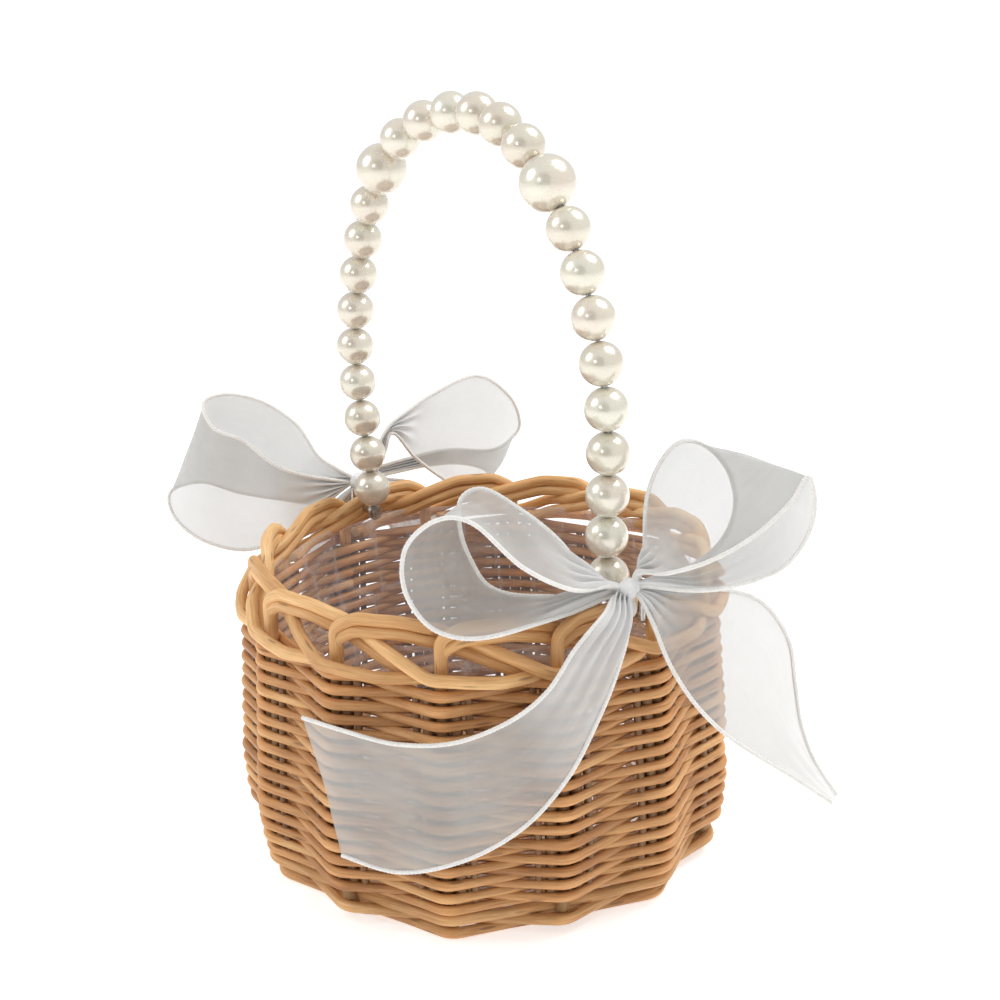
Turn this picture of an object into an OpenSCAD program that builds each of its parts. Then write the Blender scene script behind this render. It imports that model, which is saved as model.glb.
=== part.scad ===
// Flower girl basket: round willow basket, pearl handle on two pivots, clear liner and two organza bows.
// The origin is the centre of the resting face. X runs along the span of the handle and Z is up.

/* [Basket] */
// Radius of the ring on which the upright stakes stand
stake_ring_r = 102; // [90:1:120]
// Number of stakes
stake_count = 14; // [8:2:20]
// Angle from the handle pivot to the first stake
stake_phase = 4.3; // [3:0.1:6]
// Diameter of a stake and of the border rod that it becomes
stake_d = 5.2; // [4:0.1:5.4]
// Height of the top of the side weave
weave_top = 113; // [90:1:120]
// Thickness of the side weave
weave_t = 11; // [10:0.2:12]
// Height of the foot ring
foot_h = 13; // [12:1:16]

/* [Base] */
// Diameter of a base stick
base_stick_d = 4.6; // [4:0.1:4.8]
// Thickness of the base weave
base_weave_h = 7; // [6:0.5:7]

/* [Liner] */
// Outside radius of the clear liner
liner_r = 95; // [85:0.5:95.5]
// Thickness of the liner film
liner_t = 0.5; // [0.3:0.1:1]
// Height of the top edge of the liner
liner_top = 124; // [100:1:125]

/* [Handle] */
// Height of the pivot axis
pivot_z = 130; // [130:0.5:131]
// Distance from the basket axis to each pivot
pivot_r = 85; // [83:0.5:86]
// Height of the wire at the top of the arch
arch_top = 323; // [318:1:335]
// Diameter of an ordinary pearl
pearl_d = 17.6; // [16:0.1:18]
// Diameter of the two larger pearls
big_pearl_d = 22.6; // [20:0.1:24]
// Diameter of the handle wire
wire_d = 1.8; // [1.2:0.1:2]

/* [Bows] */
// Thickness of the ribbon
ribbon_t = 1; // [0.6:0.1:1.2]
// Diameter of a bow knot
knot_d = 8; // [7:0.5:8]

/* [Hidden] */

stake_pitch = 360 / stake_count;
weave_r_in = stake_ring_r - weave_t / 2;
weave_r_out = stake_ring_r + weave_t / 2;

// The side is fullest at belly_z and draws in a little towards the foot
belly = 5;
belly_z = 40;
foot_flare = 2;
base_z = foot_h - base_weave_h - 1;
base_weave_r = weave_r_in - 0.1;
hub_r = 19.5;
stake_foot_z = foot_h + 1;
pearl_count = 26;
big_pearls = [10, 17];
bore_d = wire_d + 0.2;
wire_sides = 12;
rod_sides = 8;

// Pin, eye and staple of a handle pivot
pin_d = 3;
eye_bore_d = 3.1;
eye_d = 7.2;
eye_t = 2;
pin_head_d = 5.4;
pin_head_t = 1.4;
side_play = 0.2;
staple_x = 103;
staple_top_z = 139.3;
staple_in_x = 96;

// Knots and ties of the bows
knot_x = 102.5;
knot_y = -6;
knot_z = 144;
left_knot = [-106.5, 6.5, 140.5];
tie_x = 98.3;
tie_z = 135.2;
tie_d = 11.2;
tie_t = 0.8;
tie_w = 7;

willow = "peru";
willow_light = "burlywood";
organza = "whitesmoke";

// ---- curves ----

// Point on a Catmull-Rom curve through p0..p3, between p1 and p2
function catmull(p0, p1, p2, p3, t) =
    0.5 * (2 * p1 + (p2 - p0) * t + (2 * p0 - 5 * p1 + 4 * p2 - p3) * t * t
           + (3 * p1 - p0 - 3 * p2 + p3) * t * t * t);

// Curve through all the points, with n steps between neighbours
function curve(p, n) =
    let (last = len(p) - 1)
    [for (i = [0 : last - 1], k = [0 : n - 1])
        catmull(p[max(i - 1, 0)], p[i], p[i + 1], p[min(i + 2, last)], k / n),
     p[last]];

function unit(v) = v / norm(v);
function tangent(p, i) = unit(p[min(i + 1, len(p) - 1)] - p[max(i - 1, 0)]);
function out_dir(v) = unit([v[0], v[1], 0.001]);
function flip_xy(p) = [for (v = p) [-v[0], -v[1], v[2]]];

// Rings of a round rod that follows the path p; the first corner points along side, or away from the axis
function rod_rings(p, d, sides, side = undef) =
    [for (i = [0 : len(p) - 1])
        let (t = tangent(p, i), ref = is_undef(side) ? out_dir(p[i]) : side,
             b = unit(cross(t, ref)), n = cross(b, t))
        for (k = [0 : sides - 1])
            p[i] + d / 2 * (cos(360 * k / sides) * n + sin(360 * k / sides) * b)];

// Faces of one closed tube of m rings, whose points start at index o
function tube_faces(m, sides, o) =
    [[for (k = [0 : sides - 1]) o + k],
     for (i = [0 : m - 2], k = [0 : sides - 1])
        let (a = o + i * sides + k, b = a + sides,
             c = o + (i + 1) * sides + (k + 1) % sides, d = c - sides)
        each [[a, b, c], [a, c, d]],
     [for (k = [sides - 1 : -1 : 0]) o + (m - 1) * sides + k]];

// ---- stakes and border ----

// Path of one stake: [stake intervals travelled, distance from the ring of stakes, height]
border_path = [[0, foot_flare, stake_foot_z], [0, belly * 0.84, 27], [0, belly, belly_z],
               [0, belly / 2, 76.5], [0, 0, 113], [0, 0, 124], [0.02, -0.2, 130], [0.1, -0.8, 134.2],
               [0.28, -2, 136], [0.6, -4, 136], [0.88, -6.2, 134.4], [1.08, -7.2, 131.4],
               [1.3, -5.2, 128.2], [1.55, 0.6, 125], [1.78, 4.6, 121.4], [1.94, 5.8, 117.4],
               [2.12, 6, 116.2], [2.5, 5.8, 116], [2.72, 3.6, 115.8], [2.86, 0.4, 115.8]];

function around(v, a) =
    [(stake_ring_r + v[1]) * cos(a + v[0] * stake_pitch),
     (stake_ring_r + v[1]) * sin(a + v[0] * stake_pitch), v[2]];
function stake_path(i) =
    [for (v = curve(border_path, 2)) around(v, stake_phase + i * stake_pitch)];

module border_stakes() {
    rings = len(stake_path(0));
    color(willow_light)
        polyhedron(
            points = [for (i = [0 : stake_count - 1]) each rod_rings(stake_path(i), stake_d, rod_sides)],
            faces = [for (i = [0 : stake_count - 1]) each tube_faces(rings, rod_sides, i * rings * rod_sides)],
            convexity = 10);
}

// ---- side, foot and base ----

// Slot for a stake, bent like the wall
module stake_slot() {
    gap = stake_d / 2 + 0.6;
    rotate([90, 0, 0])
        linear_extrude(height = stake_d + 1, center = true)
            translate([stake_ring_r, 0])
                polygon([[foot_flare - gap, stake_foot_z - 0.4], [foot_flare + gap, stake_foot_z - 0.4],
                         [belly * 0.84 + gap, 27], [belly + gap, belly_z], [gap, weave_top + 1],
                         [-gap, weave_top + 1], [belly - gap, belly_z], [belly * 0.84 - gap, 27]]);
}

module side_weave() {
    color(willow)
        difference() {
            rotate_extrude($fn = 96)
                polygon([[weave_r_in + foot_flare, foot_h], [weave_r_out, foot_h],
                         [weave_r_out + belly * 0.84, foot_h + 14], [weave_r_out + belly, belly_z],
                         [weave_r_out, weave_top - 2], [weave_r_out - 1, weave_top],
                         [weave_r_in, weave_top], [weave_r_in + belly, belly_z]]);
            for (i = [0 : stake_count - 1])
                rotate(stake_phase + i * stake_pitch) stake_slot();
        }
}

module foot_wale() {
    color("sienna")
        rotate_extrude($fn = 96)
            polygon([[weave_r_in, 0], [weave_r_out - 5.5, 0], [weave_r_out - 2, 3.5],
                     [weave_r_out + 0.5, foot_h], [weave_r_in + foot_flare, foot_h],
                     [weave_r_in, foot_h - 2]]);
}

module base_stick_slots(d) {
    for (i = [0 : stake_count - 1])
        rotate((i + 0.5) * stake_pitch)
            translate([hub_r - 1, 0, base_z + base_weave_h / 2])
                rotate([0, 90, 0])
                    cylinder(d = d, h = base_weave_r, $fn = 24);
}

module base_weave() {
    color(willow)
        difference() {
            rotate_extrude($fn = 96)
                polygon([[hub_r, base_z], [base_weave_r, base_z], [base_weave_r, base_z + base_weave_h],
                         [hub_r, base_z + base_weave_h]]);
            base_stick_slots(base_stick_d + 0.2);
        }
}

// Each base stick runs from one end, across the hub and out again: four sticks lie under three
function base_stick_path(k, crossing) =
    let (mid = base_z + base_weave_h / 2,
         lay = (base_stick_d / 2 + 0.05) * (crossing ? 1 : -1),
         turn = crossing ? 90 : 0,
         a = k * stake_pitch,
         off = k * (base_stick_d + 0.1),
         half = [[(base_weave_r - 1) * cos(a), (base_weave_r - 1) * sin(a), mid],
                 [(hub_r - 2) * cos(a), (hub_r - 2) * sin(a), mid],
                 [hub_r - 7, off, mid + lay * 0.7],
                 [hub_r - 11, off, mid + lay]],
         line = concat(half, [for (j = [len(half) - 1 : -1 : 0]) [-half[j][0], half[j][1], half[j][2]]]))
    [for (v = line) [v[0] * cos(turn) - v[1] * sin(turn), v[0] * sin(turn) + v[1] * cos(turn), v[2]]];

module base_sticks() {
    paths = concat([for (k = [-1.5 : 1 : 1.5]) base_stick_path(k, false)],
                   [for (k = [-1 : 1]) base_stick_path(k, true)]);
    rings = len(paths[0]);
    color(willow_light)
        polyhedron(points = [for (p = paths) each rod_rings(p, base_stick_d, rod_sides, [0, 0, 1])],
                   faces = [for (i = [0 : len(paths) - 1]) each tube_faces(rings, rod_sides, i * rings * rod_sides)],
                   convexity = 10);
}

module liner() {
    color("lightcyan", 0.4)
        rotate_extrude($fn = 96)
            polygon([[0, foot_h + 0.3], [liner_r - 1, foot_h + 0.3], [liner_r, foot_h + 1.3],
                     [liner_r, liner_top], [liner_r - liner_t, liner_top],
                     [liner_r - liner_t, foot_h + 1.5], [liner_r - liner_t - 0.7, foot_h + 0.3 + liner_t],
                     [0, foot_h + 0.3 + liner_t]]);
}

// ---- handle ----

// Half of the arch, from the top of one eye up to the crown; the handle leans a little off the pivots
arch = [[85, 0, pivot_z], [84.5, -1.5, 147], [85.5, -2.5, 166], [87.5, -3.5, 185], [88.5, -4, 204],
        [86.5, -4.5, 225], [80, -4.5, 252], [70, -5, 277], [57, -5.5, 298], [40.5, -5, 312],
        [21, -3, arch_top - 2.5], [0, -1, arch_top]];

arch_line = curve([for (i = [len(arch) - 1 : -1 : 0]) arch[i]], 6);

// Length along a line up to point i
function run_length(p, i) = i == 0 ? 0 : run_length(p, i - 1) + norm(p[i] - p[i - 1]);
arch_runs = [for (i = [0 : len(arch_line) - 1]) run_length(arch_line, i)];

// Point at the distance s along the arch, from the crown
function on_arch(s) =
    let (i = min(max([for (k = [0 : len(arch_runs) - 1]) arch_runs[k] <= s ? k : 0]), len(arch_runs) - 2),
         t = (s - arch_runs[i]) / (arch_runs[i + 1] - arch_runs[i]))
    arch_line[i] + (arch_line[i + 1] - arch_line[i]) * t;

function pearl_size(n) = n == big_pearls[0] || n == big_pearls[1] ? big_pearl_d : pearl_d;

// Distances from the crown to the places where pearls touch, counted on the right-hand half
touch_gap = 0.12;
half_sizes = [for (n = [14 : pearl_count]) pearl_size(n) + touch_gap];
function sum_to(v, n) = n == 0 ? 0 : v[n - 1] + sum_to(v, n - 1);
touch_right = [for (k = [0 : len(half_sizes)]) on_arch(sum_to(half_sizes, k))];
touches = concat([for (k = [len(half_sizes) : -1 : 1])
                      [-touch_right[k][0], touch_right[k][1], touch_right[k][2]]],
                 touch_right);

module pearl(n) {
    a = touches[n - 1];
    b = touches[n];
    dir = b - a;
    color("ivory")
        translate((a + b) / 2)
            rotate([0, acos(dir[2] / norm(dir)), atan2(dir[1], dir[0])])
                difference() {
                    sphere(d = pearl_size(n), $fn = 48);
                    cylinder(d = bore_d, h = big_pearl_d + 2, center = true, $fn = 24);
                }
}

module handle_wire() {
    foot_z = pivot_z + eye_d / 2 + 0.01;
    foot = touches[pearl_count];
    path = concat([[-foot[0], foot[1], foot_z]], touches, [[foot[0], foot[1], foot_z]]);
    color("silver")
        polyhedron(points = [for (i = [0 : len(path) - 1])
                       let (t = tangent(path, i), n = unit(cross([0, 1, 0], t)), b = cross(t, n))
                       for (k = [0 : wire_sides - 1])
                           path[i] + wire_d / 2 * (cos(360 * k / wire_sides) * n
                                                   + sin(360 * k / wire_sides) * b)],
                   faces = tube_faces(len(path), wire_sides, 0));
}

module eye() {
    translate([pivot_r - eye_t / 2, 0, pivot_z])
        rotate([0, 90, 0])
            difference() {
                cylinder(d = eye_d, h = eye_t, $fn = 48);
                translate([0, 0, -1]) cylinder(d = eye_bore_d, h = eye_t + 2, $fn = 48);
            }
}

module right_eye() { color("silver") eye(); }
module left_eye() { color("silver") rotate(180) eye(); }

// Headed pin through the eye, turned up outside the border rods and back over them
module staple() {
    head_x = pivot_r - eye_t / 2 - side_play - pin_head_t;
    translate([head_x, 0, pivot_z]) rotate([0, 90, 0]) cylinder(d = pin_head_d, h = pin_head_t, $fn = 48);
    translate([head_x + pin_head_t, 0, pivot_z])
        rotate([0, 90, 0]) cylinder(d = pin_d, h = staple_x - head_x - pin_head_t, $fn = 48);
    translate([staple_x, 0, pivot_z]) sphere(d = pin_d, $fn = 32);
    translate([staple_x, 0, pivot_z]) cylinder(d = pin_d, h = staple_top_z - pivot_z, $fn = 48);
    translate([staple_x, 0, staple_top_z]) sphere(d = pin_d, $fn = 32);
    translate([staple_in_x, 0, staple_top_z])
        rotate([0, 90, 0]) cylinder(d = pin_d, h = staple_x - staple_in_x, $fn = 48);
}

module right_staple() { color("silver") staple(); }
module left_staple() { color("silver") rotate(180) staple(); }

// ---- bows ----

module knot(place) {
    translate(place) sphere(d = knot_d, $fn = 48);
}

module tie() {
    translate([tie_x, knot_y, tie_z])
        rotate([90, 0, 0])
            rotate_extrude($fn = 48)
                translate([tie_d / 2 - tie_t, -tie_w / 2]) square([tie_t, tie_w]);
}

// Ribbon between two edges that hold the same number of points
module ribbon(edge_a, edge_b, steps) {
    a = curve(edge_a, steps);
    b = curve(edge_b, steps);
    m = len(a);
    color(organza)
        polyhedron(points = [for (i = [0 : m - 1])
                       let (across = unit(b[i] - a[i]),
                            along = tangent((a + b) / 2, i),
                            up = unit(cross(across, along)) * ribbon_t / 2)
                       each [a[i] + up, b[i] + up, b[i] - up, a[i] - up]],
                   faces = tube_faces(m, 4, 0), convexity = 6);
}

// Edges of the right bow; the bow leans over the border next to the right pivot
inner_loop_back = [[96, -14.5, 147.5], [88, -29.5, 166.5], [76.5, -40.5, 179], [66.5, -49, 186],
                   [60.5, -55.5, 182], [60, -56, 169.5], [62.5, -53.5, 157.5], [68.5, -49, 146.5],
                   [78.5, -38, 142.5], [92.5, -16.5, 143]];
inner_loop_front = [[100, -14.5, 147.5], [105.5, -39, 153.5], [101, -58.5, 165.5], [90, -72.5, 183],
                    [81.5, -83, 184.5], [73.5, -91.5, 173.5], [75, -93, 156.5], [83.5, -85, 142],
                    [96, -66.5, 139.5], [98, -15.5, 142.5]];
outer_loop_back = [[101, 1, 150], [100, 4, 164], [101, 5, 180], [104, 9, 193], [109, 15, 201],
                   [116, 22, 199], [122, 28, 189], [124, 30, 175], [121, 26, 161], [114, 16, 151],
                   [106, 3, 147]];
outer_loop_front = [[105, -3, 151], [121, -4, 155], [134, 6, 161], [145, 18, 171], [152, 29, 183],
                    [156, 34, 193], [159, 35, 182], [157, 32, 168], [150, 24, 156], [134, 7, 149],
                    [108, -2, 146]];
inner_tail_top = [[101, -13, 143], [112, -28, 141], [110, -41.5, 130], [105.5, -51.5, 115],
                  [98, -65, 104], [85, -81.5, 96], [68, -96, 94], [48.5, -107, 96], [29, -114, 97]];
inner_tail_low = [[106, -9, 142], [115, -17, 134], [115.5, -25, 117], [113, -33.5, 98.5],
                  [109, -45.5, 77.5], [101, -61, 59], [87, -79.5, 45.5], [67, -97, 38],
                  [44.5, -109.5, 40.5]];
outer_tail_top = [[106, -1, 143], [114, 11, 141], [125, 24, 142], [134, 36, 136], [140, 45, 120],
                  [142, 48, 100], [144, 50, 82], [148, 54, 66], [154, 62, 50]];
outer_tail_low = [[109, -6, 141], [119, -9, 134], [127, -8, 120], [134, -2, 105], [141, 7, 92],
                  [149, 17, 82], [157, 26, 74], [164, 33, 67], [169.25, 39.5, 61]];

// The left bow sits outside the border: one loop spreads into a fan, the other stands on edge,
// and its second tail hangs straight down outside the wall
left_fan_high = [[-107, 12.5, 146], [-102.5, 16.5, 159], [-102, 26.5, 169], [-103, 52.5, 178.5],
                 [-105, 81.5, 182.5], [-107, 104, 168], [-109, 113, 152], [-111, 110, 143],
                 [-112, 95.5, 138], [-112, 62, 144], [-109, 13.5, 144]];
left_fan_low = [[-105, 13.5, 141], [-101, 18.5, 154.5], [-100, 23, 163], [-100, 36, 148],
                [-100.5, 51.5, 134.5], [-101.5, 67, 124], [-104, 84.5, 122], [-108, 89, 128],
                [-109.5, 75, 135], [-110, 52, 138.5], [-108, 14, 140]];
left_outer_high = [[-111, 3.5, 143], [-116, -2, 147], [-123.5, -7.5, 153], [-132, -13.5, 168.5],
                   [-143, -26, 180.5], [-151, -41.5, 185.5], [-151, -54, 183], [-144, -53, 171.5],
                   [-135, -42, 164.5], [-123, -27.5, 149.5], [-112, 0.5, 140]];
left_outer_low = [[-112.5, 3, 138.5], [-122.5, -8.5, 128.5], [-140, -21.5, 129], [-154, -36.5, 132.5],
                  [-165, -52, 139], [-169, -67.5, 136], [-161, -70, 124.5], [-148.5, -61.5, 113.5],
                  [-135.5, -44, 108], [-123.5, -26.5, 116.5], [-113, -1, 135.5]];
left_inner_tail_top = concat([[-110.5, 13, 136.5], [-114, 28, 134]],
                             flip_xy([for (i = [2 : 8]) inner_tail_top[i]]));
left_inner_tail_low = concat([[-111.5, 10.5, 134], [-116.5, 19, 127]],
                             flip_xy([for (i = [2 : 8]) inner_tail_low[i]]));
left_tail_back = [[-111.5, 6.5, 134], [-117, 8, 124], [-118, 6, 111], [-118, 6, 95], [-118, 5, 76],
                  [-120, 4, 60]];
left_tail_front = [[-112.5, 2.5, 134.5], [-116.5, -7, 126], [-116, -20, 112], [-115.5, -25, 95],
                   [-115.5, -27, 76], [-118, -29, 52]];

module right_bow_knot() { color(organza) knot([knot_x, knot_y, knot_z]); }
module right_bow_tie() { color(organza) tie(); }
module right_bow_inner_loop() { ribbon(inner_loop_back, inner_loop_front, 3); }
module right_bow_outer_loop() { ribbon(outer_loop_back, outer_loop_front, 3); }
module right_bow_inner_tail() { ribbon(inner_tail_top, inner_tail_low, 3); }
module right_bow_outer_tail() { ribbon(outer_tail_top, outer_tail_low, 3); }

module left_bow_knot() { color(organza) knot(left_knot); }
module left_bow_tie() { color(organza) rotate(180) tie(); }
module left_bow_inner_loop() { ribbon(left_fan_high, left_fan_low, 3); }
module left_bow_outer_loop() { ribbon(left_outer_high, left_outer_low, 3); }
module left_bow_inner_tail() { ribbon(left_inner_tail_top, left_inner_tail_low, 3); }
module left_bow_outer_tail() { ribbon(left_tail_back, left_tail_front, 3); }

base_sticks();
base_weave();
foot_wale();
side_weave();
border_stakes();
liner();
right_staple();
left_staple();
right_eye();
left_eye();
handle_wire();
pearl(1);  // pearl_01
pearl(2);  // pearl_02
pearl(3);  // pearl_03
pearl(4);  // pearl_04
pearl(5);  // pearl_05
pearl(6);  // pearl_06
pearl(7);  // pearl_07
pearl(8);  // pearl_08
pearl(9);  // pearl_09
pearl(10);  // pearl_10
pearl(11);  // pearl_11
pearl(12);  // pearl_12
pearl(13);  // pearl_13
pearl(14);  // pearl_14
pearl(15);  // pearl_15
pearl(16);  // pearl_16
pearl(17);  // pearl_17
pearl(18);  // pearl_18
pearl(19);  // pearl_19
pearl(20);  // pearl_20
pearl(21);  // pearl_21
pearl(22);  // pearl_22
pearl(23);  // pearl_23
pearl(24);  // pearl_24
pearl(25);  // pearl_25
pearl(26);  // pearl_26
right_bow_knot();
right_bow_tie();
right_bow_inner_loop();
right_bow_outer_loop();
right_bow_inner_tail();
right_bow_outer_tail();
left_bow_knot();
left_bow_tie();
left_bow_inner_loop();
left_bow_outer_loop();
left_bow_inner_tail();
left_bow_outer_tail();
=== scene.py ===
import math
import random

import bpy
import numpy as np
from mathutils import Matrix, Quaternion, Vector, noise


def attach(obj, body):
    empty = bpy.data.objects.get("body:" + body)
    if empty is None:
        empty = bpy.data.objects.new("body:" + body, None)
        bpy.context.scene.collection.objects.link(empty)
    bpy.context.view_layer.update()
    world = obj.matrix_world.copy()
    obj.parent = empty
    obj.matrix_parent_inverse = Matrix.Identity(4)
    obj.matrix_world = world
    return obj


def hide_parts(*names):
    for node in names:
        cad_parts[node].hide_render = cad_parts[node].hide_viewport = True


# Flower girl basket: woven willow, a clear film liner, a pearl handle and two organza bows.
# Shapes, and the named sizes they are made from, are in millimetres, and Shape.build turns them into metres.
# The camera, lights, floor, materials, texture places and flat sizes are in metres.

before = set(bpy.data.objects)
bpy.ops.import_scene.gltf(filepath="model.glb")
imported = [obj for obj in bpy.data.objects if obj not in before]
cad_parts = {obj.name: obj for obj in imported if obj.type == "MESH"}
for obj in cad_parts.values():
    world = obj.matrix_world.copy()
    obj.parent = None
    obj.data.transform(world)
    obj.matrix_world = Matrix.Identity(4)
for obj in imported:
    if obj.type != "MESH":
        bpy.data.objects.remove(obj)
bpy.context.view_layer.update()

MM = 0.001
UP = Vector((0, 0, 1))
TURN = 2 * math.pi

# ---------------------------------------------------------------- camera, light and floor

AIM = Vector((0.007, 0.006, 0.156))
CAM_DISTANCE = 0.65
CAM_AZIMUTH = math.radians(-38.35)
CAM_ELEVATION = math.radians(17.45)
CAM_ROLL = math.radians(-1.6)
CAM_LENS = 52.84


def direction(azimuth, elevation):
    return Vector((
        math.cos(elevation) * math.cos(azimuth),
        math.cos(elevation) * math.sin(azimuth),
        math.sin(elevation),
    ))


to_camera = direction(CAM_AZIMUTH, CAM_ELEVATION)
cam_right = (-to_camera).cross(UP).normalized()
cam_up = cam_right.cross(-to_camera).normalized()


def make_camera():
    data = bpy.data.cameras.new("camera")
    data.lens = CAM_LENS
    data.sensor_width = 36
    data.clip_start = 0.01
    data.clip_end = 50
    cam = bpy.data.objects.new("camera", data)
    bpy.context.scene.collection.objects.link(cam)
    cam.location = AIM + to_camera * CAM_DISTANCE
    cam.rotation_mode = "QUATERNION"
    roll = Quaternion((0, 0, 1), CAM_ROLL)
    cam.rotation_quaternion = (-to_camera).to_track_quat("-Z", "Y") @ roll
    bpy.context.scene.camera = cam


def soft_light(name, along, distance, size, power, colour=(1, 1, 1)):
    data = bpy.data.lights.new(name, "AREA")
    data.shape = "DISK"
    data.size = size
    data.energy = power
    data.color = colour
    lamp = bpy.data.objects.new(name, data)
    bpy.context.scene.collection.objects.link(lamp)
    along = along.normalized()
    lamp.location = AIM + along * distance
    lamp.rotation_mode = "QUATERNION"
    lamp.rotation_quaternion = (-along).to_track_quat("-Z", "Y")
    return lamp


def make_lights():
    soft_light("key", 0.16 * to_camera + 0.53 * cam_right + 0.83 * cam_up, 1.5, 0.9, 13)
    soft_light("fill", 0.25 * to_camera - 0.75 * cam_right + 0.45 * cam_up, 1.6, 1.0, 6)
    soft_light("glint", 0.84 * to_camera - 0.52 * cam_right + 0.16 * cam_up, 1.4, 0.13, 1.3)


def make_world():
    """White studio air, with the darker room round the camera for the pearls to mirror."""
    world = bpy.data.worlds.new("studio")
    world.use_nodes = True
    bpy.context.scene.world = world
    tree = world.node_tree
    tree.nodes.clear()
    out = tree.nodes.new("ShaderNodeOutputWorld")
    back = tree.nodes.new("ShaderNodeBackground")
    coord = tree.nodes.new("ShaderNodeTexCoord")
    dot = tree.nodes.new("ShaderNodeVectorMath")
    dot.operation = "DOT_PRODUCT"
    dark_way = (to_camera - 0.34 * cam_right + 0.02 * cam_up).normalized()
    dot.inputs[1].default_value = dark_way
    ramp = tree.nodes.new("ShaderNodeValToRGB")
    ramp.color_ramp.elements[0].position = 0.80
    ramp.color_ramp.elements[0].color = (0.72, 0.72, 0.72, 1)
    ramp.color_ramp.elements[1].position = 0.94
    ramp.color_ramp.elements[1].color = (0.10, 0.09, 0.08, 1)
    seen = tree.nodes.new("ShaderNodeLightPath")
    mix = tree.nodes.new("ShaderNodeMix")
    mix.data_type = "RGBA"
    mix.inputs[7].default_value = (1.05, 1.05, 1.05, 1)
    tree.links.new(coord.outputs["Generated"], dot.inputs[0])
    tree.links.new(dot.outputs["Value"], ramp.inputs["Fac"])
    tree.links.new(seen.outputs["Is Camera Ray"], mix.inputs[0])
    tree.links.new(ramp.outputs["Color"], mix.inputs[6])
    tree.links.new(mix.outputs[2], back.inputs["Color"])
    tree.links.new(back.outputs["Background"], out.inputs["Surface"])


make_camera()
make_lights()
make_world()
bpy.context.scene.view_settings.view_transform = "Standard"

# ---------------------------------------------------------------- node trees


class Material:
    """A material's node tree, with short calls for the nodes used here."""

    def __init__(self, name):
        self.data = bpy.data.materials.new(name)
        self.data.use_nodes = True
        self.tree = self.data.node_tree
        self.bsdf = self.tree.nodes["Principled BSDF"]

    def put(self, socket, value):
        if isinstance(value, bpy.types.NodeSocket):
            self.tree.links.new(value, socket)
        else:
            socket.default_value = value

    def shade(self, **values):
        for name, value in values.items():
            self.put(self.bsdf.inputs[name.replace("_", " ")], value)

    def add(self, kind, inputs=None, **settings):
        node = self.tree.nodes.new(kind)
        for name, value in settings.items():
            setattr(node, name, value)
        for key, value in (inputs or {}).items():
            self.put(node.inputs[key], value)
        return node

    def attribute(self, name, output="Vector"):
        return self.add("ShaderNodeAttribute", attribute_name=name).outputs[output]

    def place(self):
        return self.add("ShaderNodeTexCoord").outputs["Object"]

    def scaled(self, vector, scale):
        return self.add("ShaderNodeMapping", {"Vector": vector, "Scale": scale}).outputs[0]

    def noise(self, vector, scale, detail=3, roughness=0.55, distortion=0.0):
        inputs = {"Vector": vector, "Scale": scale, "Detail": detail,
                  "Roughness": roughness, "Distortion": distortion}
        return self.add("ShaderNodeTexNoise", inputs).outputs["Fac"]

    def wave(self, vector, scale, distortion=0.0, direction="X"):
        inputs = {"Vector": vector, "Scale": scale, "Distortion": distortion}
        node = self.add("ShaderNodeTexWave", inputs, bands_direction=direction)
        return node.outputs["Fac"]

    def ramp(self, factor, stops):
        node = self.add("ShaderNodeValToRGB", {"Fac": factor})
        elements = node.color_ramp.elements
        while len(elements) < len(stops):
            elements.new(0.5)
        for element, (position, colour) in zip(elements, stops):
            element.position = position
            element.color = (*colour, 1) if len(colour) == 3 else colour
        return node.outputs["Color"]

    def range(self, value, low, high, new_low, new_high):
        inputs = {"Value": value, "From Min": low, "From Max": high,
                  "To Min": new_low, "To Max": new_high}
        return self.add("ShaderNodeMapRange", inputs).outputs["Result"]

    def mix(self, factor, a, b, blend="MIX"):
        node = self.add("ShaderNodeMix", data_type="RGBA", blend_type=blend)
        self.put(node.inputs[0], factor)
        self.put(node.inputs[6], a)
        self.put(node.inputs[7], b)
        return node.outputs[2]

    def math(self, operation, a, b=0.0):
        return self.add("ShaderNodeMath", {0: a, 1: b}, operation=operation).outputs[0]

    def bump(self, height, strength, distance):
        inputs = {"Height": height, "Strength": strength, "Distance": distance}
        self.put(self.bsdf.inputs["Normal"], self.add("ShaderNodeBump", inputs).outputs["Normal"])


def willow_material(name, dark, middle, light, pith=(0.80, 0.66, 0.44)):
    """Peeled willow rod: long grain, patches of tone, small bud scars and pale cut ends, darkened by painted
    shade where its shade attribute is below one.
    """
    m = Material(name)
    rod = m.attribute("rod")
    tone = m.attribute("tone", "Fac")
    grain = m.noise(m.scaled(rod, (70, 1300, 1300)), 1.0, 4, 0.6, 0.3)
    patch = m.noise(m.scaled(rod, (16, 90, 90)), 1.0, 3, 0.6)
    blend = m.math("ADD", m.math("MULTIPLY", grain, 0.55), m.math("MULTIPLY", patch, 0.45))
    colour = m.ramp(blend, [(0.32, dark), (0.50, middle), (0.68, light)])
    cast = m.ramp(tone, [(0.0, (0.80, 0.70, 0.62)), (0.35, (1.0, 0.90, 0.80)),
                         (0.7, (1.06, 1.02, 0.96)), (1.0, (1.15, 1.16, 1.10))])
    colour = m.mix(1.0, colour, cast, "MULTIPLY")
    scar = m.add("ShaderNodeTexVoronoi", {"Vector": m.scaled(rod, (45, 260, 260)), "Scale": 1.0})
    spot = m.range(scar.outputs["Distance"], 0.10, 0.20, 0.55, 1.0)
    colour = m.mix(1.0, colour, spot, "MULTIPLY")
    colour = m.mix(m.attribute("cut", "Fac"), colour, (*pith, 1))
    # Painted shade: the colour is multiplied by the shade attribute, darker in the hollows of the weave.
    colour = m.mix(1.0, colour, m.attribute("shade", "Fac"), "MULTIPLY")
    rough = m.range(patch, 0.3, 0.7, 0.42, 0.62)
    m.shade(Base_Color=colour, Roughness=rough, Specular_IOR_Level=0.42)
    m.bump(m.math("ADD", grain, m.math("MULTIPLY", spot, 0.4)), 0.35, 0.0002)
    return m.data


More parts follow.
